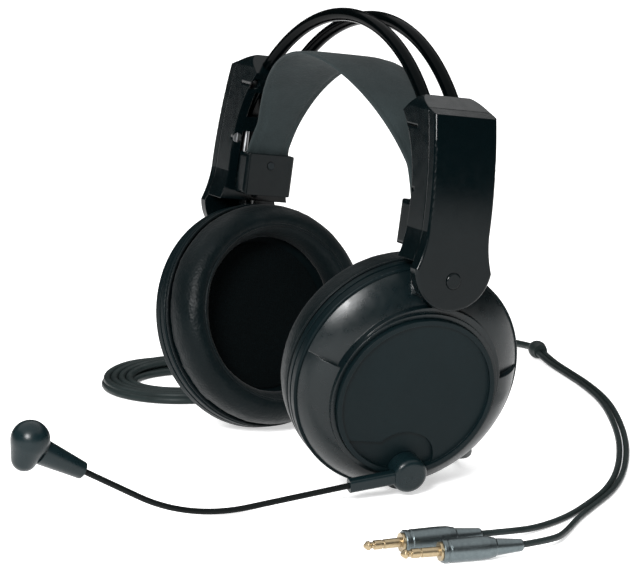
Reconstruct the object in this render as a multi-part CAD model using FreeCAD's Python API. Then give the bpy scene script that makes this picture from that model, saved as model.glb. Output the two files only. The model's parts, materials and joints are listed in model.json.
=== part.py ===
import FreeCAD, Part
import math
import os

# Stereo communications headset: two round closed cups on a twin-bow headband with a
# self-adjusting strap, a boom microphone on the left cup, and a cord that ends in two plugs.
# Millimetres. The wearer faces -Y, +X is the wearer's left, +Z is up.
# The headset rests on the floor z = 0 on its cup rims, leaning back a little.

V = FreeCAD.Vector

# ---- driving dimensions ----
CUP_RADIUS = 46.0        # outer radius of a cup at its rim
CUP_SPREAD = 62.0        # rim centre, sideways from the middle
CUP_HEIGHT = 46.0        # rim centre above the floor before leaning
CUP_TILT = 14.5          # outward faces look down by this angle
CUP_TOE = 4.0            # outward faces look forward by this angle
LEAN = 8.5               # whole headset leans back by this angle
HEAD_SHIFT = V(0, 50.0, -0.15)   # brings the footprint's middle to the origin

PIVOT_A = 8.0            # cup pivot, outward from the rim plane
PIVOT_C = 40.0           # cup pivot, above the cup's centre
PIN_R = 1.5
RUNNING = 0.05           # radial running clearance

DISC_R = 32.0            # flat outer disc
DISC_B = -1.5            # its centre, towards the back
DISC_C = -2.3            # its centre, above the cup's centre
SECTOR = 79.0            # half angle of the lowered upper sector of the shell

KNOB_B = 2.2             # boom knob centre in the cup's plane
KNOB_C = -32.8
KNOB_R = 7.0
BOOM_A = 18.8            # plane in which the boom lies
MIC_TOP_R = 7.2          # microphone head: its two balls and where they sit along it
MIC_TOP_X = 2.7
MIC_LOW_R = 4.8
MIC_LOW_X = -4.8
BOOM_R = 1.15

ARM_HALF = 13.5          # half width of an arm
PADDLE_HALF = 16.5       # half width of its flared lower end
CAP_Z = 86.5             # height of the round cap on the lower end
ARM_TURN_X = -64.2       # centre of the arm's outer curve
ARM_TURN_Z = 104.0
ARM_OUTER_R = 153.6
COVER_T = 4.6            # thickness of the outer cover
PART_GAP = 0.3           # parting gap between cover and chassis

BOW_R = 87.4             # twin bows: centre-line radius
BOW_Z = 88.8             # height of their centre
BOW_ROD = 2.6            # bow rod radius
BOW_HALF_GAP = 6.3       # bows stand this far to either side of the middle
BOW_END_Z = 124.0

STRAP_R = 73.0           # strap: outer radius
STRAP_Z = 87.8           # height of its centre
STRAP_T = 2.6            # thickness
STRAP_FRONT = 25.0       # reach in front of the middle, at the crown
STRAP_REAR = 12.0        # reach behind the middle, at the crown
STRAP_END_HALF = 9.5     # half width at the sliders
STRAP_END_Z = 104.0      # height of its ends
SUSPENSION_TRAVEL = 10.0

ROD_X = 75.6             # guide rods of the strap's sliders
ROD_Y = 6.0
ROD_R = 1.2
ELASTIC_END = 75.6       # inner end of the elastic's anchor, short of the swivel stem
SLEEVE_Z = 101.5         # foot of the slider's sleeves, clear of the swivel's flange
RIVET_Z = 108.5          # rivet through slider and strap
RIVET_R = 0.9

CORD_D = 3.2
LEG_D = 2.5
COIL_X = -136.0
COIL_Y = 62.0
COIL_OUTER = 37.0
COIL_INNER = 20.0
COIL_HEIGHT = 8.4

PLUG_PIN_R = 1.75        # 3.5 mm plug
PIN_LENGTH = 14.0        # clear of the collar, to the tip
COLLAR_T = 1.0           # collar between pin and shell
PLUG_LENGTH = 30.0       # shell and bend relief
REAR_PLUG = V(138.5, 13.4, 4.35)
REAR_PIN_WAY = V(-0.13, -0.99, 0)
FRONT_PLUG = V(155.2, 19.4, 4.35)
FRONT_PIN_WAY = V(-0.22, -0.975, 0)
SPLITTER = (-110.5, 227.3, 4.05)

# Cord routes: points that the cord passes near, hand laid.
CORD_RUN = [(54.31, 90.36, 11.14), (48.5, 95.2, 7.4), (39.5, 97.5, 3.6), (26.0, 98.5, 1.7),
            (6.0, 102.0, 1.7), (-22.0, 108.5, 1.7), (-56.0, 111.0, 1.7), (-82.0, 102.0, 1.7),
            (-97.0, 85.0, 1.7), (-101.5, 66.0, 1.7)]
CORD_OUT = [(-170.5, 60.0, 4.6), (-172.5, 84.0, 3.2), (-176.5, 112.0, 1.7), (-178.0, 146.0, 1.7),
            (-173.0, 180.0, 1.7), (-161.0, 210.0, 1.7), (-146.0, 227.0, 1.7),
            (-130.0, 231.5, 2.4), (-114.8, 228.4, 4.0)]
LEG_ROUTE = [(-107.0, 226.5, 3.6), (-95.0, 224.2, 1.8), (-76.0, 220.3, 1.35), (-50.0, 214.2, 1.35),
             (-20.0, 204.2, 1.35), (14.0, 187.5, 1.35), (47.0, 168.6, 1.35), (80.0, 145.6, 1.35),
             (103.0, 125.4, 1.35), (118.0, 106.8, 1.35)]
LEG_GAP = 1.4            # legs lie this far to either side of their common route
REAR_END = [(129.2, 88.5, 1.35), (136.8, 71.0, 1.6), (141.2, 57.0, 3.2), (142.2, 41.5, 4.35)]
FRONT_END = [(132.5, 91.0, 1.35), (146.0, 77.5, 1.6), (158.0, 64.5, 3.2), (161.5, 47.0, 4.35)]

os.makedirs("parts", exist_ok=True)
PARTS = {}


# ---- small helpers ----
def side(x, z):
    return V(x, 0, z)


def facing(y, z):
    return V(0, y, z)


def top(x, y):
    return V(x, y, 0)


def outline(plane, start, *moves):
    """Closed wire. A move is a point, or a pair of points: an arc through one to the other."""
    edges = []
    here = start
    for move in moves:
        if isinstance(move[0], tuple):
            edges.append(Part.Arc(plane(*here), plane(*move[0]), plane(*move[1])).toShape())
            here = move[1]
        else:
            edges.append(Part.LineSegment(plane(*here), plane(*move)).toShape())
            here = move
    if here != start:
        edges.append(Part.LineSegment(plane(*here), plane(*start)).toShape())
    return Part.Wire(edges)


def turned(start, *moves):
    """Solid of revolution about the X axis from an outline of (x, radius)."""
    face = Part.Face(outline(side, start, *moves))
    return face.revolve(V(0, 0, 0), V(1, 0, 0), 360)


def slab(plane, direction, low, high, start, *moves):
    """An outline in one of the main planes, thick from low to high along direction."""
    face = Part.Face(outline(plane, start, *moves))
    face.translate(direction * low)
    return face.extrude(direction * (high - low))


def block(x0, x1, y0, y1, z0, z1):
    return Part.makeBox(x1 - x0, y1 - y0, z1 - z0, V(x0, y0, z0))


def rod(radius, start, end):
    return Part.makeCylinder(radius, (end - start).Length, start, end - start)


def across(radius, b, c, a0, a1):
    """A rod along X, from a0 to a1, at (b, c)."""
    return rod(radius, V(a0, b, c), V(a1, b, c))


def ring_spots(radius, angles):
    return [(radius * math.sin(math.radians(t)), radius * math.cos(math.radians(t)))
            for t in angles]


def joined(shapes):
    whole = shapes[0].fuse(shapes[1:]) if len(shapes) > 1 else shapes[0]
    return whole.removeSplitter()


def group(shapes):
    return Part.makeCompound(shapes)


def mirrored(shape):
    return shape.mirror(V(0, 0, 0), V(1, 0, 0))


# ---- placements ----
def turn(axis, angle):
    return FreeCAD.Rotation(axis, angle)


TILTED = FreeCAD.Placement(V(CUP_SPREAD, 0, CUP_HEIGHT), turn(V(0, 1, 0), CUP_TILT))
PIVOT = TILTED.multVec(V(PIVOT_A, 0, PIVOT_C))
TOED = FreeCAD.Placement(V(0, 0, 0), turn(V(0, 0, 1), -CUP_TOE), PIVOT)
CUP_PLACE = TOED.multiply(TILTED)
STANCE = FreeCAD.Placement(HEAD_SHIFT, turn(V(1, 0, 0), -LEAN))


def placed(shape, placement):
    copy = shape.copy()
    copy.Placement = placement.multiply(copy.Placement)
    return copy


def keep(name, shape):
    """Store a solid that is already in its final place."""
    PARTS[name] = shape


def keep_upright(name, shape):
    keep(name, placed(shape, STANCE))


def keep_pair(name, shape, place=None):
    """A left part and its mirror image on the right, given in the upright frame."""
    left = placed(shape, place) if place else shape
    keep_upright("left_" + name, left)
    keep_upright("right_" + name, mirrored(left))


def keep_left(name, shape):
    """A part of the left cup only, given in the cup's frame."""
    keep_upright(name, placed(shape, CUP_PLACE))


# ---- cup parts, in the cup's frame: +X outward, +Y back, +Z up in the cup's plane ----
POST_SPOTS = ring_spots(38.0, (50, 130, 230, 310))
GLAND_ANGLE = 50.0       # from the bottom towards the back
GLAND_REACH = 7.0        # how far the cord's gland stands out


def dome(lift):
    """The shell's outer form; lift raises its shoulder."""
    return turned((2.6, 0), (2.6, 44.9), ((6.4 + lift, 40.6), (10.5 + lift, 33.2)),
                  (10.5 + lift, 0))


def upper_sector(inner):
    """Wedge over the upper part of the cup, open outwards."""
    reach = 80.0
    edge = math.radians(SECTOR)
    corner = (reach * math.sin(edge), reach * math.cos(edge))
    wedge = slab(facing, V(1, 0, 0), -2, 30, (0, 0), (-corner[0], corner[1]),
                 ((0, reach), (corner[0], corner[1])))
    return wedge.cut(across(inner, 0, 0, -3, 31))


def gland_axis():
    t = math.radians(GLAND_ANGLE)
    outward = V(0, math.sin(t), -math.cos(t))
    return (V(-0.62, 0, 0) + outward * 0.785).normalize(), outward


def shell(is_left):
    full = dome(2.5)
    low = dome(0)
    body = full.cut(upper_sector(33.6).cut(low))
    seat = across(DISC_R + 1.8, DISC_B, DISC_C, 3, 14.4)
    boss = across(9.0, KNOB_B, KNOB_C, 3, 13.5)
    body = joined([body, seat, boss])
    hollow = turned((0, 0), (0, 41.2), (2.8, 41.2), ((5.0, 37.4), (8.2, 31.4)),
                    (10.2, 30.6), (10.2, 0))
    hollow = hollow.cut(across(9.0, KNOB_B, KNOB_C, 2, 14))
    housing = block(1.2, 9.5, -12, 12, 31.5, 41.4).common(low)
    posts = [across(3.4, b, c, -2.4, 7.5).common(low) for b, c in POST_SPOTS]
    body = joined([body.cut(hollow), housing] + posts)
    lugs = [rod(3.4, V(PIVOT_A, s * 7.2, PIVOT_C), V(PIVOT_A, s * 10.4, PIVOT_C)) for s in (-1, 1)]
    body = joined([body] + lugs)
    body = body.cut(rod(4.1, V(PIVOT_A, -7.2, PIVOT_C), V(PIVOT_A, 7.2, PIVOT_C)))
    body = body.cut(stem_room())
    body = body.cut(rod(PIN_R, V(PIVOT_A, -12, PIVOT_C), V(PIVOT_A, 12, PIVOT_C)))
    body = body.cut(across(DISC_R + 0.15, DISC_B, DISC_C, 12.2, 20))
    for b, c in POST_SPOTS:
        body = body.cut(across(1.3, b, c, -3, 5.5))
    if is_left:
        body = body.cut(across(2.0, KNOB_B, KNOB_C, 6.0, 15))
        body = body.cut(across(KNOB_R + 0.6, KNOB_B, KNOB_C, 13.5, 15))
        axis, outward = gland_axis()
        start = outward * 42.0 + V(1.6, 0, 0)
        body = body.cut(rod(2.6, start - axis * 6, start + axis * 12))
    return body


def stem_room():
    """Room for the swivel stem as the cup tilts."""
    up = V(-math.sin(math.radians(CUP_TILT)), 0, math.cos(math.radians(CUP_TILT)))
    pivot = V(PIVOT_A, 0, PIVOT_C)
    return rod(4.7, pivot, pivot + up * 14)


def disc(is_left):
    plate = across(DISC_R, DISC_B, DISC_C, 12.3, 15.1)
    rim = across(DISC_R, DISC_B, DISC_C, 15.0, 16.4)
    rim = rim.cut(across(DISC_R - 1.9, DISC_B, DISC_C, 14.9, 17))
    body = joined([plate, rim])
    if is_left:
        inside = across(DISC_R - 1.9, DISC_B, DISC_C, 13.5, 18)
        pocket = slab(facing, V(1, 0, 0), 13.6, 18, (-40, -21.8), (-11, -21.8),
                      ((-4.5, -17.6), (3.0, -17.4)), ((9.5, -20.6), (12.5, -28.0)), (12.5, -40),
                      (-40, -40)).common(inside)
        body = body.cut(pocket)
        body = body.cut(across(7.6, KNOB_B, KNOB_C, 13.6, 18))
        body = body.cut(across(2.6, KNOB_B, KNOB_C, 12, 18))
    return body


def bezel(is_left):
    ring = turned((-4.5, 42.6), (-4.5, 45.3), ((-4.3, 45.8), (-3.8, CUP_RADIUS)),
                  (-1.9, CUP_RADIUS), (-1.6, 45.2), (-1.1, 45.2), (-0.8, CUP_RADIUS),
                  (1.7, CUP_RADIUS), ((2.3, 45.8), (2.5, 45.2)), (2.5, 42.6))
    ring = ring.cut(stem_room())
    if is_left:
        axis, outward = gland_axis()
        start = outward * 42.0 + V(1.6, 0, 0)
        ring = ring.cut(rod(3.3, start - axis * 6, start + axis * 12))
    return ring


def baffle():
    plate = across(42.5, 0, 0, -4.5, -2.5).cut(across(20.0, 0, 0, -5, -2))
    for b, c in POST_SPOTS:
        plate = plate.cut(across(1.5, b, c, -5, -2))
        plate = plate.cut(across(2.7, b, c, -5, -3.1))
    for b, c in ring_spots(28.0, range(0, 360, 45)):
        plate = plate.cut(across(1.6, b, c, -5, -2))
    return plate


def driver_basket():
    return turned((-2.4, 17.9), (-2.4, 23.0), (-1.2, 23.0), (-1.2, 20.0), (2.2, 20.0),
                  (3.2, 19.0), (3.2, 6.0), (2.0, 6.0), (2.0, 17.9))


def driver_magnet():
    return turned((3.3, 0), (3.3, 13.0), (8.4, 13.0), (9.0, 12.4), (9.0, 0))


def driver_diaphragm():
    return turned((-2.2, 0), (-2.2, 8.6), ((-3.4, 13.0), (-2.2, 17.4)), (-1.8, 17.4),
                  ((-3.0, 13.0), (-1.8, 8.2)), (-1.8, 0))


def grille_cloth():
    return across(30.0, 0, 0, -5.2, -4.7)


def damping_ring():
    return turned((-2.3, 24.0), (-2.3, 33.8), (0.6, 33.8), (0.6, 24.0))


def cushion():
    return turned((-4.8, 32.4), (-4.8, 44.6), ((-8.0, 46.2), (-11.8, 46.3)),
                  ((-19.8, 43.6), (-22.5, 37.8)), ((-19.6, 32.1), (-13.2, 30.6)))


def cup_screws():
    shafts = []
    for b, c in POST_SPOTS:
        shaft = across(1.25, b, c, -3.2, 5.0)
        head = across(2.5, b, c, -4.4, -3.1)
        slot = block(-4.6, -3.9, b - 0.35, b + 0.35, c - 3, c + 3)
        shafts.append(joined([shaft, head]).cut(slot))
    return group(shafts)


def tilt_pin():
    return rod(PIN_R, V(PIVOT_A, -10.4, PIVOT_C), V(PIVOT_A, 10.4, PIVOT_C))


# ---- swivel, between cup and arm, in the upright frame at the pivot ----
def swivel():
    barrel = rod(3.4, PIVOT + V(0, -6.9, 0), PIVOT + V(0, 6.9, 0))
    stem = rod(3.0, PIVOT, V(PIVOT.x, 0, 97.4))
    flange = rod(4.3, V(PIVOT.x, 0, 97.2), V(PIVOT.x, 0, 99.0))
    body = joined([barrel, stem, flange])
    return body.cut(rod(PIN_R + RUNNING, PIVOT + V(0, -8, 0), PIVOT + V(0, 8, 0)))


# ---- arm parts, upright frame, left side ----
ARM_SCREWS = [(s * 11.4, z) for s in (-1, 1) for z in (118.0, 141.0)]


def curve_x(inset, z):
    """X of the arm's outer curve, set in by inset, at height z."""
    reach = ARM_OUTER_R - inset
    return ARM_TURN_X + math.sqrt(reach ** 2 - (z - ARM_TURN_Z) ** 2)


def arm_face():
    """The arm seen from the side of the head: straight, with a flared round lower end."""
    flare = ((-14.3, 97.5), (-PADDLE_HALF, 90.0))
    back = ((14.3, 97.5), (ARM_HALF, 104.0))
    return slab(facing, V(1, 0, 0), 50, 95, (-ARM_HALF, 148.0), (-ARM_HALF, 104.0), flare,
                ((0, 75.0), (PADDLE_HALF, 90.0)), back, (ARM_HALF, 148.0),
                ((12.0, 151.6), (8.5, 153.2)), (-8.5, 153.2), ((-12.0, 151.6), (-ARM_HALF, 148.0)))


def arm_cover():
    outer = curve_x(0, 127)
    inner = curve_x(COVER_T, 127)
    profile = slab(side, V(0, 1, 0), -20, 20, (84.8, 74), (89.4, 74), (89.4, ARM_TURN_Z),
                   ((outer, 127), (curve_x(0, 147.2), 147.2)),
                   (curve_x(COVER_T, 149), 149.0),
                   ((inner, 127), (curve_x(COVER_T, ARM_TURN_Z), ARM_TURN_Z)))
    body = profile.common(arm_face())
    body = softened(body, 1.1)
    pocket = block(70, 86.6, -9.0, 9.0, 101, 143)
    thin = slab(side, V(0, 1, 0), -20, 20, (70, 70), (87.2, 70), (87.2, ARM_TURN_Z),
                ((curve_x(2.2, 127), 127), (curve_x(2.2, 149), 149)), (70, 149))
    body = body.cut(pocket.common(thin))
    body = body.cut(across(3.1, 0, CAP_Z, 88.6, 92))
    for y, z in ARM_SCREWS:
        body = body.cut(across(1.25, y, z, 70, curve_x(0, z) - 1.6))
    return body


def softened(body, radius):
    """Round the long outer edges of an arm cover."""
    edges = []
    for edge in body.Edges:
        middle = edge.valueAt((edge.FirstParameter + edge.LastParameter) / 2)
        on_curve = abs(middle.x - (89.4 if middle.z < ARM_TURN_Z else curve_x(0, middle.z))) < 0.05
        if on_curve and abs(middle.y) > 0.01 or (on_curve and middle.z < 80):
            edges.append(edge)
    return body.makeFillet(radius, edges)


def arm_chassis():
    inset = COVER_T + PART_GAP
    profile = slab(side, V(0, 1, 0), -20, 20, (73.4, 92.5), (84.5, 92.5),
                   (curve_x(inset, ARM_TURN_Z), ARM_TURN_Z),
                   ((curve_x(inset, 127), 127), (curve_x(inset, 149), 149)),
                   (68.2, 153.0), (59.6, 146.0), ((69.8, 130.5), (73.4, 112)))
    body = profile.common(arm_face())
    body = body.cut(block(60, 81.6, -9.3, 9.3, 97, 121))
    body = body.cut(block(60, 81.0, -9.3, 9.3, 127, 137.5))
    body = body.cut(rod(4.8, V(PIVOT.x, 0, 97.0), V(PIVOT.x, 0, 99.8)))
    body = body.cut(rod(3.0 + RUNNING, V(PIVOT.x, 0, 90), V(PIVOT.x, 0, 98)))
    for s in (-1, 1):
        body = body.cut(bow_path(s, BOW_ROD))
        body = body.cut(rod(ROD_R, V(ROD_X, s * ROD_Y, 94), V(ROD_X, s * ROD_Y, 123.5)))
    body = body.cut(rod(0.8, V(72.2, 0, 94.6), V(ELASTIC_END, 0, 94.6)))
    for y, z in ARM_SCREWS:
        body = body.cut(across(1.3, y, z, 60, 90))
        body = body.cut(across(2.1, y, z, 55, screw_seat(z)))
    return body


def screw_seat(z):
    return 75.0 if z < 130 else 71.5


def bow_path(s, radius):
    """One bow, from the left arm's socket over the head to the right arm's."""
    rise = math.asin((BOW_END_Z - BOW_Z) / BOW_R)
    ends = [V(k * BOW_R * math.cos(rise), s * BOW_HALF_GAP, BOW_Z + BOW_R * math.sin(rise))
            for k in (1, -1)]
    crown = V(0, s * BOW_HALF_GAP, BOW_Z + BOW_R)
    path = Part.Wire([Part.Arc(ends[0], crown, ends[1]).toShape()])
    start = V(-math.sin(rise), 0, math.cos(rise))
    ring = Part.Wire([Part.Circle(ends[0], start, radius).toShape()])
    return path.makePipeShell([ring], True, False)


def guide_rods():
    return group([rod(ROD_R, V(ROD_X, s * ROD_Y, 94), V(ROD_X, s * ROD_Y, 123.5)) for s in (-1, 1)])


def elastic():
    upright = rod(0.75, V(72.2, 0, 94.6), V(72.2, 0, 114))
    return joined([upright, rod(0.75, V(72.2, 0, 94.6), V(ELASTIC_END, 0, 94.6))])


def arm_screws():
    screws = []
    for y, z in ARM_SCREWS:
        shaft = across(1.2, y, z, screw_seat(z) - 0.1, curve_x(0, z) - 1.8)
        head = across(2.0, y, z, screw_seat(z) - 1.4, screw_seat(z))
        slot = block(60, screw_seat(z) - 0.8, y - 0.3, y + 0.3, z - 3, z + 3)
        screws.append(joined([shaft, head]).cut(slot))
    return group(screws)


def pivot_cap():
    cap = turned((88.6, 0), (88.6, 3.05), (89.7, 3.05), (90.0, 2.7), (90.0, 0))
    cap.translate(V(0, 0, CAP_Z))
    return cap


# ---- suspension: strap and its sliders ----
def strap_band(grow):
    """Arch of the strap, from slider to slider."""
    outer = STRAP_R + grow
    inner = STRAP_R - STRAP_T - grow
    low_outer = math.sqrt(outer ** 2 - (STRAP_END_Z - STRAP_Z) ** 2)
    low_inner = math.sqrt(inner ** 2 - (STRAP_END_Z - STRAP_Z) ** 2)
    return slab(side, V(0, 1, 0), -27, 27, (low_outer, STRAP_END_Z),
                ((0, STRAP_Z + outer), (-low_outer, STRAP_END_Z)), (-low_inner, STRAP_END_Z),
                ((0, STRAP_Z + inner), (low_inner, STRAP_END_Z)))


def strap():
    far = 75.0
    plan = slab(top, V(0, 0, 1), 90, 180, (-far, -STRAP_END_HALF),
                (-62.0, -STRAP_END_HALF), ((0, -STRAP_FRONT), (62.0, -STRAP_END_HALF)),
                (far, -STRAP_END_HALF), (far, STRAP_END_HALF), (62.0, STRAP_END_HALF),
                ((0, STRAP_REAR), (-62.0, STRAP_END_HALF)), (-far, STRAP_END_HALF))
    band = strap_band(0).common(plan)
    for x in (-far, 60.0):
        band = band.cut(across(RIVET_R, 0, RIVET_Z, x, x + 15.0))
    return band


def slider():
    body = block(62.3, 71.0, -11, 11, 96, 113)
    body = body.makeFillet(1.6, [e for e in body.Edges if e.BoundBox.YLength < 0.1])
    sleeves = [block(70.5, 77.6, s * ROD_Y - 2.6, s * ROD_Y + 2.6, SLEEVE_Z, 110) for s in (-1, 1)]
    body = joined([body] + sleeves)
    for s in (-1, 1):
        body = body.cut(rod(ROD_R + RUNNING, V(ROD_X, s * ROD_Y, 90), V(ROD_X, s * ROD_Y, 120)))
    slot = strap_band(0.05).common(block(50, 75, -9.6, 9.6, 90, 120))
    body = body.cut(slot)
    body = body.cut(across(RIVET_R, 0, RIVET_Z, 60, 70.6))
    return body.cut(across(1.6, 0, RIVET_Z, 61, 64.6))


def strap_rivets():
    rivet = joined([across(1.55, 0, RIVET_Z, 62.0, 64.6), across(RIVET_R, 0, RIVET_Z, 64.0, 70.6)])
    return group([rivet, mirrored(rivet)])


# ---- boom microphone, in the left cup's frame ----
def boom_spindle():
    return across(2.0, KNOB_B, KNOB_C, 6.0, 20.2)


def boom_knob():
    body = turned((13.9, 0), (13.9, KNOB_R), (19.4, KNOB_R), ((21.0, 6.3), (21.7, 4.6)), (21.9, 0))
    body = body.cut(across(2.0 + RUNNING, 0, 0, 13, 20.4))
    body.translate(V(0, KNOB_B, KNOB_C))
    return body.cut(boom_socket(0.02))


BOOM_START = (-20.0, -38.3)
BOOM_BEND = (-83.0, -55.5)
BOOM_END = (-129.4, -37.0)
BOOM_BEND_R = 70.0


def boom_socket(grow):
    """Flat finger that carries the gooseneck out of the knob."""
    near = V(BOOM_A, KNOB_B - 4.0, KNOB_C - 1.0)
    far = V(BOOM_A, BOOM_START[0] - 1.5, BOOM_START[1] - 0.4)
    along = far - near
    length = along.Length
    finger = block(0, length, -2.6 - grow, 2.6 + grow, -2.0 - grow, 2.0 + grow)
    finger = finger.makeFillet(1.2, [e for e in finger.Edges if e.BoundBox.XLength > 5])
    angle = math.degrees(math.atan2(along.z, along.y))
    spin = turn(V(1, 0, 0), angle).multiply(turn(V(0, 0, 1), 90)).multiply(turn(V(1, 0, 0), 90))
    finger.Placement = FreeCAD.Placement(near, spin)
    return finger


def boom_finger():
    body = boom_socket(0)
    start = V(BOOM_A, BOOM_START[0], BOOM_START[1])
    toward = (V(BOOM_A, BOOM_BEND[0], BOOM_BEND[1]) - start).normalize()
    return body.cut(rod(BOOM_R, start - toward * 8, start + toward * 6))


def gooseneck():
    start = V(BOOM_A, BOOM_START[0], BOOM_START[1])
    bend = V(BOOM_A, BOOM_BEND[0], BOOM_BEND[1])
    end = V(BOOM_A, BOOM_END[0], BOOM_END[1])
    first = (bend - start).normalize()
    second = (end - bend).normalize()
    path = rounded_path([start - first * 8, bend, end + second * 4], [BOOM_BEND_R])
    return swept(path, BOOM_R)


def mic_frame():
    """Microphone axes: along the stem, and the head's centre."""
    base = V(BOOM_A, BOOM_END[0], BOOM_END[1])
    along = (base - V(BOOM_A, BOOM_BEND[0], BOOM_BEND[1])).normalize()
    head = base + along * 22.5 + V(0, -1.5, 0.2)
    return base, along, head


def mic_head(shrink):
    """Egg-shaped head: a large ball, a small ball below it and the cone between them."""
    top_r = MIC_TOP_R - shrink
    low_r = MIC_LOW_R - shrink
    lean = math.asin((top_r - low_r) / (MIC_TOP_X - MIC_LOW_X))
    out_x, out_r = -math.sin(lean), math.cos(lean)
    half = (math.pi / 2 - lean) / 2
    low_mid = (MIC_LOW_X - low_r * math.cos(half), low_r * math.sin(half))
    low_end = (MIC_LOW_X + low_r * out_x, low_r * out_r)
    top_start = (MIC_TOP_X + top_r * out_x, top_r * out_r)
    half = (math.pi / 2 + lean) / 2
    top_mid = (MIC_TOP_X + top_r * math.cos(half), top_r * math.sin(half))
    body = turned((MIC_LOW_X - low_r, 0), (low_mid, low_end), top_start,
                  (top_mid, (MIC_TOP_X + top_r, 0)))
    body.Placement = FreeCAD.Placement(mic_frame()[2], turn(V(1, 0, 0), V(0, 0.1, 1)))
    return body


def mic_case():
    base, along, head = mic_frame()
    stem = Part.makeCone(3.3, 5.0, 19.0, base, along)
    body = joined([stem, mic_head(0)])
    body = body.cut(mic_head(1.4))
    body = body.cut(rod(BOOM_R, base - along * 2, base + along * 4))
    return body.cut(rod(3.6, head - V(12, 0, 0), head - V(3.2, 0, 0)))


def mic_grille():
    head = mic_frame()[2]
    plate = rod(3.5, head - V(5.7, 0, 0), head - V(4.9, 0, 0))
    for b, c in ring_spots(2.1, range(0, 360, 60)) + [(0, 0)]:
        plate = plate.cut(rod(0.5, head + V(-8, b, c), head + V(-4, b, c)))
    return plate


def mic_capsule():
    head = mic_frame()[2]
    return rod(3.3, head - V(4.6, 0, 0), head - V(1.4, 0, 0))


# ---- cord ----
def rounded_path(points, radii=None):
    """Straight runs joined by tangent arcs."""
    edges = []
    here = points[0]
    for i in range(1, len(points) - 1):
        before = points[i] - points[i - 1]
        after = points[i + 1] - points[i]
        half = before.getAngle(after) / 2
        if radii:
            reach = radii[i - 1] * math.tan(half)
        else:
            reach = 0.45 * min(before.Length, after.Length)
        radius = reach / math.tan(half)
        before.normalize()
        after.normalize()
        start = points[i] - before * reach
        end = points[i] + after * reach
        inward = (after - before).normalize()
        middle = points[i] + inward * (radius / math.cos(half) - radius)
        edges.append(Part.LineSegment(here, start).toShape())
        edges.append(Part.Arc(start, middle, end).toShape())
        here = end
    edges.append(Part.LineSegment(here, points[-1]).toShape())
    return Part.Wire(edges)


def swept(path, radius):
    first = path.OrderedEdges[0]
    start = first.valueAt(first.FirstParameter)
    heading = first.tangentAt(first.FirstParameter)
    ring = Part.Wire([Part.Circle(start, heading, radius).toShape()])
    return path.makePipeShell([ring], True, False)


def cord_piece(name, points, diameter):
    path = rounded_path([V(*p) for p in points])
    keep(name, swept(path, diameter / 2))


def beside(points, offset):
    """The same route, moved to the left in plan by offset."""
    moved = []
    for i, (x, y, z) in enumerate(points):
        before = points[max(i - 1, 0)]
        after = points[min(i + 1, len(points) - 1)]
        run = math.hypot(after[0] - before[0], after[1] - before[1])
        moved.append((x - (after[1] - before[1]) / run * offset,
                      y + (after[0] - before[0]) / run * offset, z))
    return moved


def aligned(shape, origin, heading):
    """A shape made along X, moved to origin and pointed along heading."""
    shape.Placement = FreeCAD.Placement(origin, turn(V(1, 0, 0), heading))
    return shape


def splitter():
    body = turned((-5.6, 0), (-5.6, 2.0), ((-3.9, 2.7), (-2.6, 3.5)), ((0.4, 4.0), (3.2, 3.5)),
                  (5.0, 3.1), (5.0, 0))
    return aligned(body, V(*SPLITTER), V(0.97, -0.24, 0))


def plug_contact():
    """Pin with its collar and the shank inside the shell; the pin points along -X."""
    tip = -COLLAR_T - PIN_LENGTH
    return turned((tip, 0), (tip, 0.5), (tip + 1.3, 1.65), (tip + 2.0, PLUG_PIN_R),
                  (tip + 2.7, 1.2), (tip + 3.6, 1.2), (tip + 3.9, PLUG_PIN_R),
                  (tip + 6.7, PLUG_PIN_R), (tip + 6.8, 1.45), (tip + 7.4, 1.45),
                  (tip + 7.5, PLUG_PIN_R), (-COLLAR_T, PLUG_PIN_R), (-COLLAR_T, 3.4), (0, 3.4),
                  (0, 2.0), (9.0, 2.0), (9.0, 0))


def plug_shell():
    """Barrel, knurled ring and bend relief."""
    return turned((0, 2.0), (0, 4.0), (0.4, 4.3), (1.6, 4.3), (1.9, 4.05), (2.6, 4.05),
                  (2.9, 4.3), (13.5, 4.3), (17.0, 4.1), (19.5, 3.5), (20.0, 3.1), (25.0, 2.6),
                  (29.5, 2.2), (PLUG_LENGTH, 1.9), (PLUG_LENGTH, 0), (9.0, 0), (9.0, 2.0))


def cord_gland():
    axis, outward = gland_axis()
    start = outward * 42.0 + V(1.6, 0, 0)
    sleeve = rod(2.55, start - axis * 1.5, start + axis * (GLAND_REACH - 2.0))
    nose = Part.makeCone(2.55, 1.9, 2.0, start + axis * (GLAND_REACH - 2.0), axis)
    return joined([sleeve, nose])


def coil():
    half = COIL_HEIGHT / 2
    face = Part.Face(outline(side, (COIL_INNER, 3.0), ((COIL_INNER + 0.9, 0.9), (COIL_INNER + 3, 0)),
                             (COIL_OUTER - 3, 0), ((COIL_OUTER - 0.9, 0.9), (COIL_OUTER, 3.0)),
                             (COIL_OUTER, COIL_HEIGHT - 3),
                             ((COIL_OUTER - 0.9, COIL_HEIGHT - 0.9), (COIL_OUTER - 3, COIL_HEIGHT)),
                             (COIL_INNER + 3, COIL_HEIGHT),
                             ((COIL_INNER + 0.9, COIL_HEIGHT - 0.9), (COIL_INNER, COIL_HEIGHT - 3))))
    ring = face.revolve(V(0, 0, 0), V(0, 0, 1), 360)
    ring.translate(V(COIL_X, COIL_Y, 0))
    return ring


# ---- build ----
for is_left, word in ((True, "left_"), (False, "right_")):
    for name, make in (("shell", shell), ("disc", disc), ("bezel", bezel)):
        body = placed(make(is_left), CUP_PLACE)
        keep_upright(word + name, body if is_left else mirrored(body))

for name, make in (("baffle", baffle), ("driver_basket", driver_basket),
                   ("magnet", driver_magnet), ("diaphragm", driver_diaphragm),
                   ("grille_cloth", grille_cloth), ("damping_ring", damping_ring),
                   ("cushion", cushion), ("cup_screws", cup_screws), ("tilt_pin", tilt_pin)):
    keep_pair(name, make(), CUP_PLACE)

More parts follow.
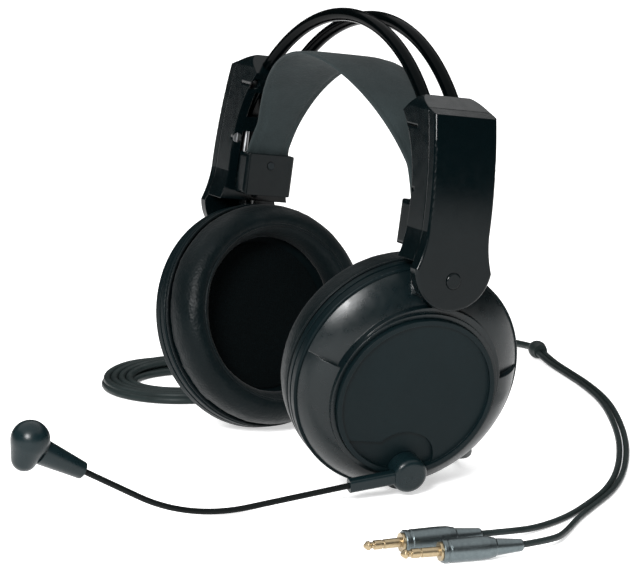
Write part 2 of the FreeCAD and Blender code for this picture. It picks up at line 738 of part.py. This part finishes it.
keep_pair("swivel", swivel(), TOED)
keep_pair("arm_cover", arm_cover())
keep_pair("arm_chassis", arm_chassis())
for name, make in (("guide_rods", guide_rods), ("elastics", elastic),
                   ("arm_screws", arm_screws), ("pivot_caps", pivot_cap)):
    one_side = make()
    keep_upright(name, group([one_side, mirrored(one_side)]))
keep_upright("bow_front", bow_path(-1, BOW_ROD))
keep_upright("bow_rear", bow_path(1, BOW_ROD))
keep_upright("strap", strap())
keep_pair("slider", slider())
keep_upright("strap_rivets", strap_rivets())

keep_left("boom_spindle", boom_spindle())
keep_left("boom_knob", boom_knob())
keep_left("boom_finger", boom_finger())
keep_left("gooseneck", gooseneck())
keep_left("mic_case", mic_case())
keep_left("mic_grille", mic_grille())
keep_left("mic_capsule", mic_capsule())

keep_left("cord_gland", cord_gland())

keep("cord_coil", coil())
cord_piece("cord_run", CORD_RUN, CORD_D)
cord_piece("cord_out", CORD_OUT, CORD_D)
keep("splitter", splitter())
for name, place, way, sign, last in (("rear", REAR_PLUG, REAR_PIN_WAY, -1, REAR_END),
                                     ("front", FRONT_PLUG, FRONT_PIN_WAY, 1, FRONT_END)):
    cord_piece("leg_" + name, beside(LEG_ROUTE, sign * LEG_GAP) + last, LEG_D)
    keep("plug_%s_contact" % name, aligned(plug_contact(), place, way * -1))
    keep("plug_%s_shell" % name, aligned(plug_shell(), place, way * -1))

for name, shape in PARTS.items():
    if not shape.isValid() or shape.Volume <= 0:
        print("BAD", name, shape.isValid(), shape.Volume, len(shape.Solids))
    shape.exportStep("parts/%s.step" % name)
print(len(PARTS), "parts")
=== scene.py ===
import json
import math

import bmesh
import bpy
from mathutils import Matrix, Vector


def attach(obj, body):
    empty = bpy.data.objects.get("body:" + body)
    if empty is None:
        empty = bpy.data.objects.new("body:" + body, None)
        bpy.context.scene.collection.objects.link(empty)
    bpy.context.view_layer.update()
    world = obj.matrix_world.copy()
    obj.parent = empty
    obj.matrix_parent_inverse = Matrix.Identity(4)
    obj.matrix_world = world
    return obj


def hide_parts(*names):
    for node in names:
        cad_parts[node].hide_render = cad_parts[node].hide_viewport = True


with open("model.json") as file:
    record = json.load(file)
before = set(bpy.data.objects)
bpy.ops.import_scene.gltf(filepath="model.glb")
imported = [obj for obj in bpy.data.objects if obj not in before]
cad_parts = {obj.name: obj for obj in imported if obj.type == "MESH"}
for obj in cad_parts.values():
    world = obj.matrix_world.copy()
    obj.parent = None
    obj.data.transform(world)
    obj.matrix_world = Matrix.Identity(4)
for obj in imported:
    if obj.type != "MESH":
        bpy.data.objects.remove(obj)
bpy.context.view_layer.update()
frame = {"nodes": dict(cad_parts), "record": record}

bpy.context.scene.view_settings.view_transform = "Standard"

MM = 0.001
NODES = frame["nodes"]

# ---- stance, as in the CAD model: millimetres and degrees ----
CUP_SPREAD, CUP_HEIGHT = 62.0, 46.0
CUP_TILT, CUP_TOE, LEAN = 14.5, 4.0, 8.5
HEAD_SHIFT = Vector((0, 50.0, -0.15))
PIVOT_A, PIVOT_C = 8.0, 40.0


def spin(axis, degrees):
    return Matrix.Rotation(math.radians(degrees), 4, axis)


def move(vector):
    return Matrix.Translation(vector)


TILTED = move(Vector((CUP_SPREAD, 0, CUP_HEIGHT))) @ spin("Y", CUP_TILT)
PIVOT = TILTED @ Vector((PIVOT_A, 0, PIVOT_C))
TOED = move(PIVOT) @ spin("Z", -CUP_TOE) @ move(-PIVOT)
STANCE = move(HEAD_SHIFT) @ spin("X", -LEAN)
MIRROR = Matrix.Scale(-1, 4, Vector((1, 0, 0)))
TO_METRES = Matrix.Scale(MM, 4)
UPRIGHT = TO_METRES @ STANCE @ Matrix.Scale(1 / MM, 4)
LEFT_CUP = TO_METRES @ STANCE @ TOED @ TILTED @ Matrix.Scale(1 / MM, 4)


# ---- camera ----
AIM = Vector((0.0095, 0.0500, 0.07075))
AZIMUTH, ELEVATION, DISTANCE = math.radians(61.5), math.radians(11.2), 1.241
FOCAL_PIXELS, IMAGE_WIDTH, SENSOR = 3176.0, 640.0, 36.0

back = Vector((math.sin(AZIMUTH) * math.cos(ELEVATION),
               -math.cos(AZIMUTH) * math.cos(ELEVATION), math.sin(ELEVATION)))
camera = bpy.data.objects.new("camera", bpy.data.cameras.new("camera"))
bpy.context.scene.collection.objects.link(camera)
camera.location = AIM + back * DISTANCE
camera.rotation_mode = "QUATERNION"
camera.rotation_quaternion = (-back).to_track_quat("-Z", "Y")
camera.data.sensor_width = SENSOR
camera.data.lens = SENSOR * FOCAL_PIXELS / IMAGE_WIDTH
camera.data.clip_end = 20
bpy.context.scene.camera = camera


# ---- materials ----
NOISE_ROUGHNESS = 0.55
SPAN_LOW, SPAN_HIGH = 0.3, 0.7      # the part of a pattern's range that the ramps use
MOULD_EDGE, METAL_EDGE, EDGE_SAMPLES = 0.0004, 0.0002, 6
METAL_STREAKS = 900
THREADS = 2200


class Shader:
    """A Principled material with small helpers for its nodes."""

    def __init__(self, name, colour, roughness, specular, metallic=0.0):
        self.material = bpy.data.materials.new(name)
        self.material.use_nodes = True
        self.tree = self.material.node_tree
        self.body = self.tree.nodes["Principled BSDF"]
        self.body.inputs["Metallic"].default_value = metallic
        self.body.inputs["Specular IOR Level"].default_value = specular
        self.body.inputs["Roughness"].default_value = roughness
        self.colour = colour
        self.roughness = roughness
        coords = self.tree.nodes.new("ShaderNodeTexCoord")
        self.place = coords.outputs["Object"]
        self.normal = None

    def link(self, a, b):
        self.tree.links.new(a, b)

    def noise(self, scale, detail):
        node = self.tree.nodes.new("ShaderNodeTexNoise")
        node.inputs["Scale"].default_value = scale
        node.inputs["Detail"].default_value = detail
        node.inputs["Roughness"].default_value = NOISE_ROUGHNESS
        self.link(self.place, node.inputs["Vector"])
        return node.outputs["Fac"]

    def cells(self, scale):
        node = self.tree.nodes.new("ShaderNodeTexVoronoi")
        node.inputs["Scale"].default_value = scale
        self.link(self.place, node.inputs["Vector"])
        return node.outputs["Distance"]

    def remap(self, value, low, high):
        node = self.tree.nodes.new("ShaderNodeMapRange")
        node.inputs["From Min"].default_value = SPAN_LOW
        node.inputs["From Max"].default_value = SPAN_HIGH
        node.inputs["To Min"].default_value = low
        node.inputs["To Max"].default_value = high
        self.link(value, node.inputs["Value"])
        return node.outputs["Result"]

    def tint(self, value, dark, light):
        node = self.tree.nodes.new("ShaderNodeValToRGB")
        node.color_ramp.elements[0].position = SPAN_LOW
        node.color_ramp.elements[1].position = SPAN_HIGH
        node.color_ramp.elements[0].color = [c * dark for c in self.colour] + [1]
        node.color_ramp.elements[1].color = [min(c * light, 1)
                                             for c in self.colour] + [1]
        self.link(value, node.inputs["Fac"])
        self.link(node.outputs["Color"], self.body.inputs["Base Color"])

    def uneven(self, value, spread):
        self.link(self.remap(value, self.roughness - spread, self.roughness + spread),
                  self.body.inputs["Roughness"])

    def bump(self, height, distance, strength=1.0):
        node = self.tree.nodes.new("ShaderNodeBump")
        node.inputs["Distance"].default_value = distance
        node.inputs["Strength"].default_value = strength
        self.link(height, node.inputs["Height"])
        if self.normal:
            self.link(self.normal, node.inputs["Normal"])
        self.normal = node.outputs["Normal"]
        self.link(self.normal, self.body.inputs["Normal"])

    def soften(self, radius):
        """Rounds what the light sees of hard moulded edges."""
        node = self.tree.nodes.new("ShaderNodeBevel")
        node.samples = EDGE_SAMPLES
        node.inputs["Radius"].default_value = radius
        self.normal = node.outputs["Normal"]
        self.link(self.normal, self.body.inputs["Normal"])


def moulded(name, colour, roughness, grain, shine):
    """Injection-moulded plastic: fine spark-eroded grain, faint handling marks."""
    s = Shader(name, colour, roughness, shine)
    s.soften(MOULD_EDGE)
    s.tint(s.noise(45, 4), 0.88, 1.14)
    s.uneven(s.noise(260, 4), 0.05)
    s.bump(s.noise(2600, 2), grain)
    return s.material


def leatherette(name, colour, roughness):
    s = Shader(name, colour, roughness, 0.08)
    s.tint(s.noise(70, 4), 0.86, 1.16)
    s.uneven(s.noise(320, 3), 0.06)
    s.bump(s.cells(900), 0.00012, 0.7)
    s.bump(s.noise(140, 4), 0.00035, 0.45)
    s.body.inputs["Sheen Weight"].default_value = 0.03
    s.body.inputs["Sheen Roughness"].default_value = 0.5
    return s.material


def rubber(name, colour, roughness):
    s = Shader(name, colour, roughness, 0.1)
    s.tint(s.noise(120, 3), 0.8, 1.25)
    s.uneven(s.noise(400, 3), 0.07)
    s.bump(s.noise(1500, 3), 0.00004)
    return s.material


def metal(name, colour, roughness):
    s = Shader(name, colour, roughness, 0.5, 1.0)
    s.soften(METAL_EDGE)
    s.tint(s.noise(METAL_STREAKS, 2), 0.9, 1.08)
    s.uneven(s.noise(METAL_STREAKS * 1.7, 3), 0.05)
    s.bump(s.noise(METAL_STREAKS * 2.0, 2), 0.00001)
    return s.material


def woven(name, colour):
    s = Shader(name, colour, 0.9, 0.05)
    s.tint(s.cells(THREADS), 0.5, 1.5)
    s.bump(s.cells(THREADS), 0.0002)
    return s.material


BLACK = (0.0013, 0.0040, 0.0048)     # the cool near-black of every moulding


def shade(factor):
    return tuple(c * factor for c in BLACK)


MATERIALS = {
    "shell_plastic": moulded("shell_plastic", shade(1.0), 0.30, 0.00002, 0.26),
    "disc_plastic": moulded("disc_plastic", shade(1.3), 0.42, 0.00004, 0.1),
    "bezel_plastic": moulded("bezel_plastic", shade(1.1), 0.38, 0.00002, 0.06),
    "inner_plastic": moulded("inner_plastic", shade(0.6), 0.55, 0.00003, 0.06),
    # Arms: partly their own near-black, partly painted shade; shade(0.6) stands in for the dark
    # reflections across their faces.
    "arm_plastic": moulded("arm_plastic", shade(0.6), 0.18, 0.00001, 0.14),
    # Bows: partly their own near-black, partly painted shade; shade(0.2) stands in for the dark
    # overhead reflection on their crowns.
    "bow_rod": moulded("bow_rod", shade(0.2), 0.16, 0.00001, 0.035),
    "ear_leatherette": leatherette("ear_leatherette", shade(0.75), 0.42),
    "strap_leatherette": leatherette("strap_leatherette", (0.016, 0.022, 0.023), 0.68),
    "grille_fabric": woven("grille_fabric", shade(0.3)),
    "foam": woven("foam", shade(1.5)),
    "steel": metal("steel", (0.45, 0.46, 0.47), 0.32),
    "black_rivet": metal("black_rivet", (0.02, 0.024, 0.026), 0.4),
    "diaphragm_film": moulded("diaphragm_film", (0.20, 0.17, 0.12), 0.3, 0.00001, 0.4),
    "elastic_rubber": rubber("elastic_rubber", shade(0.8), 0.7),
    "boom_plastic": moulded("boom_plastic", shade(1.9), 0.3, 0.00002, 0.22),
    "gooseneck_rubber": rubber("gooseneck_rubber", (0.0015, 0.0025, 0.0025), 0.5),
    "cord_rubber": rubber("cord_rubber", (0.011, 0.016, 0.016), 0.42),
    "plug_shell": metal("plug_shell", (0.11, 0.132, 0.138), 0.36),
    "plug_gold": metal("plug_gold", (0.34, 0.27, 0.17), 0.36),
}
SLOT_OF = {entry["node"]: entry["material_slot"] for entry in frame["record"]["subparts"]}
for name, node in NODES.items():
    node.data.materials.clear()
    node.data.materials.append(MATERIALS[SLOT_OF[name]])


# ---- building helpers ----
RING_STEPS = 144


def new_object(name, data, matrix, slot_name):
    made = bpy.data.objects.new(name, data)
    bpy.context.scene.collection.objects.link(made)
    made.matrix_world = matrix
    made.data.materials.append(MATERIALS[slot_name])
    return made


def mesh_object(name, points, faces, matrix, slot_name):
    mesh = bpy.data.meshes.new(name)
    mesh.from_pydata(points, [], faces)
    return settled(name, mesh, matrix, slot_name)


def settled(name, mesh, matrix, slot_name):
    """Puts the place into the points, so that the object's own box is its true box."""
    mesh.transform(matrix)
    if matrix.determinant() < 0:
        mesh.flip_normals()
    mesh.update()
    mesh.shade_smooth()
    return new_object(name, mesh, Matrix.Identity(4), slot_name)


def grid_faces(rows, columns, wrap_rows=True):
    """Quads between rows of points; each row is a closed ring."""
    faces = []
    for i in range(rows if wrap_rows else rows - 1):
        for j in range(columns):
            k, m = (i + 1) % rows, (j + 1) % columns
            faces.append((i * columns + j, i * columns + m, k * columns + m, k * columns + j))
    return faces


def lathe(name, profile, matrix, slot_name, wave=None):
    """Closed profile of (along X, radius) in mm, turned about X."""
    points = []
    for i in range(RING_STEPS):
        t = 2 * math.pi * i / RING_STEPS
        for j, (a, r) in enumerate(profile):
            if wave:
                a, r = wave(t, a, r)
            points.append((a * MM, r * MM * math.sin(t), r * MM * math.cos(t)))
    faces = grid_faces(RING_STEPS, len(profile))
    return mesh_object(name, points, faces, matrix, slot_name)


def side_matrix(side, matrix):
    return matrix if side == "left" else MIRROR @ matrix


# ---- cords ----
CORD_D, LEG_D = 0.0032, 0.0025
COIL_CENTRE = Vector((-136.0, 62.0))
CORD_RUN = [(54.31, 90.36, 11.14), (48.5, 95.2, 7.4), (39.5, 97.5, 3.6), (26.0, 98.5, 1.7),
            (6.0, 102.0, 1.7), (-22.0, 108.5, 1.7), (-56.0, 111.0, 1.7), (-82.0, 102.0, 1.7),
            (-97.0, 85.0, 1.7), (-101.5, 66.0, 1.7)]
CORD_OUT = [(-170.5, 60.0, 4.6), (-172.5, 84.0, 3.2), (-176.5, 112.0, 1.7), (-178.0, 146.0, 1.7),
            (-173.0, 180.0, 1.7), (-161.0, 210.0, 1.7), (-146.0, 227.0, 1.7),
            (-130.0, 231.5, 2.4), (-114.8, 228.4, 4.0)]
LEG_ROUTE = [(-107.0, 226.5, 3.6), (-95.0, 224.2, 1.8), (-76.0, 220.3, 1.35), (-50.0, 214.2, 1.35),
             (-20.0, 204.2, 1.35), (14.0, 187.5, 1.35), (47.0, 168.6, 1.35), (80.0, 145.6, 1.35),
             (103.0, 125.4, 1.35), (118.0, 106.8, 1.35)]
REAR_END = [(129.2, 88.5, 1.35), (136.8, 71.0, 1.6), (141.2, 57.0, 3.2), (142.2, 41.5, 4.35)]
FRONT_END = [(132.5, 91.0, 1.35), (146.0, 77.5, 1.6), (158.0, 64.5, 3.2), (161.5, 47.0, 4.35)]
LEG_GAP = 1.4

# Coil: turns wound so far, radius of the turn, height of its centre, in mm.
WINDING = [(0.0, 34.6, 1.7), (0.5, 34.9, 1.65), (4.5, 21.9, 1.65), (5.1, 23.4, 4.5),
           (8.0, 33.0, 4.6), (8.5, 34.5, 4.6)]
STEPS_PER_TURN = 16
FAR_SIDE = 118.0         # the side where the coil is piled a little higher
PILE = 1.3               # and how much higher, in mm
UPPER_LAYER = 3.0        # turns above this height lie on other turns


def along_keys(keys, t):
    for (t0, r0, z0), (t1, r1, z1) in zip(keys, keys[1:]):
        if t <= t1:
            f = (t - t0) / (t1 - t0)
            return r0 + (r1 - r0) * f, z0 + (z1 - z0) * f
    return keys[-1][1], keys[-1][2]


def coil_points():
    """Clockwise turns, outside to inside on the floor, then back out on top of them."""
    points = []
    count = int(WINDING[-1][0] * STEPS_PER_TURN)
    reach = 1 / math.cos(math.pi / STEPS_PER_TURN)
    for i in range(1, count):
        turns = i / STEPS_PER_TURN
        radius, height = along_keys(WINDING, turns)
        angle = -2 * math.pi * turns
        if height > UPPER_LAYER:
            height += PILE * math.cos(angle - math.radians(FAR_SIDE))
        points.append((COIL_CENTRE.x + radius * reach * math.cos(angle),
                       COIL_CENTRE.y + radius * reach * math.sin(angle), height))
    return points


def beside(points, offset):
    moved = []
    for i, (x, y, z) in enumerate(points):
        before, after = points[max(i - 1, 0)], points[min(i + 1, len(points) - 1)]
        run = math.hypot(after[0] - before[0], after[1] - before[1])
        moved.append((x - (after[1] - before[1]) / run * offset,
                      y + (after[0] - before[0]) / run * offset, z))
    return moved


def cord_curve(name, points, diameter):
    data = bpy.data.curves.new(name, "CURVE")
    data.dimensions = "3D"
    spline = data.splines.new("NURBS")
    spline.points.add(len(points) - 1)
    for target, (x, y, z) in zip(spline.points, points):
        target.co = (x * MM, y * MM, z * MM, 1)
    spline.order_u = 3
    spline.use_endpoint_u = True
    spline.resolution_u = 6
    data.bevel_depth = diameter / 2
    data.bevel_resolution = 4
    data.use_fill_caps = True
    made = new_object(name, data, Matrix.Identity(4), "cord_rubber")
    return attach(made, "left_cup")


main_cord = cord_curve("main_cord", CORD_RUN + coil_points() + CORD_OUT, CORD_D)
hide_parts("cord_run", "cord_coil", "cord_out")
rear_points = beside(LEG_ROUTE, -LEG_GAP) + REAR_END
front_points = beside(LEG_ROUTE, LEG_GAP) + FRONT_END
rear_leg = cord_curve("rear_leg_cord", rear_points, LEG_D)
front_leg = cord_curve("front_leg_cord", front_points, LEG_D)
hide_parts("leg_rear")
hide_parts("leg_front")


# ---- ear cushions ----
CUSHION_FRAMES = 20
CUSHION_VOXEL = 0.0022
CUSHION_CAP = 0.0022     # furthest that the simulation may move a point, in metres
CUSHION_PRESSURE, CUSHION_MASS = 4, 0.1
# Uneven fullness round the ring: size in mm, waves per turn, phase.
FULLNESS = [(0.20, 5, 0.6), (0.13, 11, 2.1), (0.08, 23, 0.0)]
FULL_ALONG, FULL_OUT = 0.6, 0.4
PIPE_SIDES = 8
SEAM_RADIUS = 0.55
SEAMS = (("outer_seam", -6.0, 45.4), ("inner_seam", -20.4, 36.0))
PROFILE = [(-5.6, 33.2), (-5.2, 36.0), (-5.0, 40.0), (-5.2, 43.4), (-7.6, 45.2), (-11.4, 45.3),
           (-15.6, 44.6), (-18.8, 42.6), (-20.9, 39.8), (-21.2, 37.2), (-19.6, 34.4),
           (-16.2, 32.5), (-12.4, 31.7), (-8.4, 32.0)]


def fold(t, a, r):
    """Uneven fullness round the ring, as stuffed leatherette has."""
    push = sum(size * math.sin(waves * t + phase) for size, waves, phase in FULLNESS)
    return a + push * FULL_ALONG, r + push * FULL_OUT


def swell(pad):
    """Blows the pad up as a cloth with pressure, and keeps the result."""
    scene = bpy.context.scene
    bpy.context.view_layer.objects.active = pad
    remesh = pad.modifiers.new("remesh", "REMESH")
    remesh.mode = "VOXEL"
    remesh.voxel_size = CUSHION_VOXEL
    bpy.ops.object.modifier_apply(modifier=remesh.name)
    rest = [v.co.copy() for v in pad.data.vertices]
    cloth = pad.modifiers.new("cloth", "CLOTH")
    cloth.settings.use_pressure = True
    cloth.settings.uniform_pressure_force = CUSHION_PRESSURE
    cloth.settings.mass = CUSHION_MASS
    cloth.settings.effector_weights.gravity = 0
    cloth.point_cache.frame_start = 1
    cloth.point_cache.frame_end = CUSHION_FRAMES
    for number in range(1, CUSHION_FRAMES + 1):
        scene.frame_set(number)
    bpy.ops.object.modifier_apply(modifier=cloth.name)
    scene.frame_set(1)
    for vertex, start in zip(pad.data.vertices, rest):
        step = vertex.co - start
        if step.length > CUSHION_CAP:
            vertex.co = start + step * (CUSHION_CAP / step.length)


def ring_pipe(name, a, r, thickness, matrix, slot_name):
    """A round piping about X; thickness is its own radius, in mm."""
    profile = [(a + thickness * math.cos(q), r + thickness * math.sin(q))
               for q in [2 * math.pi * k / PIPE_SIDES for k in range(PIPE_SIDES)]]
    return lathe(name, profile, matrix, slot_name)


for side in ("left", "right"):
    place = side_matrix(side, LEFT_CUP)
    body = side + "_cup"
    pad = lathe(side + "_ear_cushion", PROFILE, place, "ear_leatherette", fold)
    swell(pad)
    smooth = pad.modifiers.new("smooth", "SUBSURF")
    smooth.levels = 1
    smooth.render_levels = 1
    pad.data.shade_smooth()
    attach(pad, body)
    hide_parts(side + "_cushion")
    for name, a, r in SEAMS:
        pipe = ring_pipe("%s_cushion_%s" % (side, name), a, r, SEAM_RADIUS, place,
                         "ear_leatherette")
        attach(pipe, body)

# ---- headband strap ----
STRAP_OUTER, STRAP_THICK, STRAP_MID_Z = 73.0, 2.6, 87.8
STRAP_FRONT, STRAP_REAR, STRAP_END_HALF = 25.0, 12.0, 9.5
STRAP_FAR, STRAP_END_Z = 62.0, 104.0
STRAP_HEM, STRAP_LIP = 2.6, 0.55
ARCH_STEPS = 120
STITCH_PITCH, STITCH_DEPTH = 2.6, 0.62
STITCH_SIZE = (0.85, 0.22, 0.2)     # half-lengths of one thread
STITCH_MARGIN = 0.02                # radians left bare at each end


def strap_reach(x, crown):
    """How far an edge of the strap stands from the middle; crown is its reach on top."""
    if abs(x) > STRAP_FAR:
        return STRAP_END_HALF
    extra = crown - STRAP_END_HALF
    sweep = (STRAP_FAR ** 2 + extra ** 2) / (2 * extra)
    return math.sqrt(sweep ** 2 - x ** 2) - (sweep - crown)


def strap_section(front, rear):
    """Offsets (across, inward) round the padded band; the edges are pinched by a seam."""
    hem, lip = STRAP_HEM, STRAP_LIP
    upper = [(-front, 1.3), (-front + 0.3, 0.75), (-front + 1.2, lip), (-front + hem, lip + 0.12),
             (-front + hem + 1.2, 0.12), (-front * 0.5, 0.0), (0, -0.02), (rear * 0.5, 0.0),
             (rear - hem - 1.2, 0.12), (rear - hem, lip + 0.12), (rear - 1.2, lip),
             (rear - 0.3, 0.75), (rear, 1.3)]
    lower = [(y, STRAP_THICK - z) for y, z in reversed(upper[1:-1])]
    return upper + lower


ARCH_START = math.asin((STRAP_END_Z - STRAP_MID_Z) / (STRAP_OUTER - STRAP_THICK / 2))
points = []
for i in range(ARCH_STEPS + 1):
    angle = ARCH_START + (math.pi - 2 * ARCH_START) * i / ARCH_STEPS
    out = Vector((math.cos(angle), 0, math.sin(angle)))
    x = STRAP_OUTER * math.cos(angle)
    section = strap_section(strap_reach(x, STRAP_FRONT), strap_reach(x, STRAP_REAR))
    for y, depth in section:
        spot = Vector((0, y, STRAP_MID_Z)) + out * (STRAP_OUTER - depth)
        points.append(spot * MM)
section_size = len(section)
faces = grid_faces(ARCH_STEPS + 1, section_size, wrap_rows=False)
faces.append(tuple(range(section_size)))
faces.append(tuple(reversed([ARCH_STEPS * section_size + k for k in range(section_size)])))
strap = mesh_object("head_strap", points, faces, UPRIGHT, "strap_leatherette")
strap.modifiers.new("smooth", "SUBSURF").render_levels = 1
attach(strap, "suspension")
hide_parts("strap")


def stitch_row(name, sign, crown, depth):
    """Short raised threads along one edge of the strap."""
    shape = bmesh.new()
    step = STITCH_PITCH / STRAP_OUTER
    angle = ARCH_START + STITCH_MARGIN
    while angle < math.pi - ARCH_START - STITCH_MARGIN:
        out = Vector((math.cos(angle), 0, math.sin(angle)))
        tangent = Vector((-math.sin(angle), 0, math.cos(angle)))
        y = sign * (strap_reach(STRAP_OUTER * out.x, crown) - STRAP_HEM)
        centre = Vector((0, y, STRAP_MID_Z)) + out * (STRAP_OUTER - depth)
        turn = Matrix((tangent, Vector((0, 1, 0)), out)).transposed().to_4x4()
        size = Matrix.Diagonal([c * MM for c in STITCH_SIZE] + [1])
        bmesh.ops.create_icosphere(shape, subdivisions=2, radius=1,
                                   matrix=move(centre * MM) @ turn @ size)
        angle += step
    mesh = bpy.data.meshes.new(name)
    shape.to_mesh(mesh)
    shape.free()
    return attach(settled(name, mesh, UPRIGHT, "strap_leatherette"), "suspension")


for word, sign, crown in (("front", -1, STRAP_FRONT), ("rear", 1, STRAP_REAR)):
    stitch_row("strap_stitches_" + word, sign, crown, STITCH_DEPTH)
    stitch_row("strap_stitches_under_" + word, sign, crown, STRAP_THICK - STITCH_DEPTH)

# ---- stage and light ----
FLOOR_HALF = 6
FLOOR_GLOW, WORLD_GLOW = 0.55, 0.04

floor_mesh = bpy.data.meshes.new("floor")
floor_mesh.from_pydata([(-FLOOR_HALF, -FLOOR_HALF, 0), (FLOOR_HALF, -FLOOR_HALF, 0),
                        (FLOOR_HALF, FLOOR_HALF, 0), (-FLOOR_HALF, FLOOR_HALF, 0)],
                       [], [(0, 1, 2, 3)])
floor = bpy.data.objects.new("floor", floor_mesh)
bpy.context.scene.collection.objects.link(floor)
pale = Shader("floor_paper", (0.93, 0.93, 0.93), 0.9, 0.1)
pale.tint(pale.noise(3, 2), 0.99, 1.01)
pale.body.inputs["Emission Color"].default_value = (1, 1, 1, 1)
pale.body.inputs["Emission Strength"].default_value = FLOOR_GLOW
floor.data.materials.append(pale.material)

world = bpy.data.worlds.new("studio")
bpy.context.scene.world = world
world.use_nodes = True
world.node_tree.nodes["Background"].inputs["Color"].default_value = (1, 1, 1, 1)
world.node_tree.nodes["Background"].inputs["Strength"].default_value = WORLD_GLOW


def softbox(name, spot, target, size, power):
    """A rectangular lamp at spot that faces target; metres and watts."""
    data = bpy.data.lights.new(name, "AREA")
    data.shape = "RECTANGLE"
    data.size, data.size_y = size
    data.energy = power
    lamp = bpy.data.objects.new(name, data)
    bpy.context.scene.collection.objects.link(lamp)
    lamp.location = spot
    lamp.rotation_mode = "QUATERNION"
    lamp.rotation_quaternion = (Vector(target) - Vector(spot)).to_track_quat("-Z", "Y")


softbox("sky", (-0.3, 0.2, 2.4), (-0.3, 0.2, 0), (5.5, 5.5), 125)
softbox("key", (1.03, -0.96, 0.86), (0.06, 0.03, 0.08), (0.5, 0.42), 42)
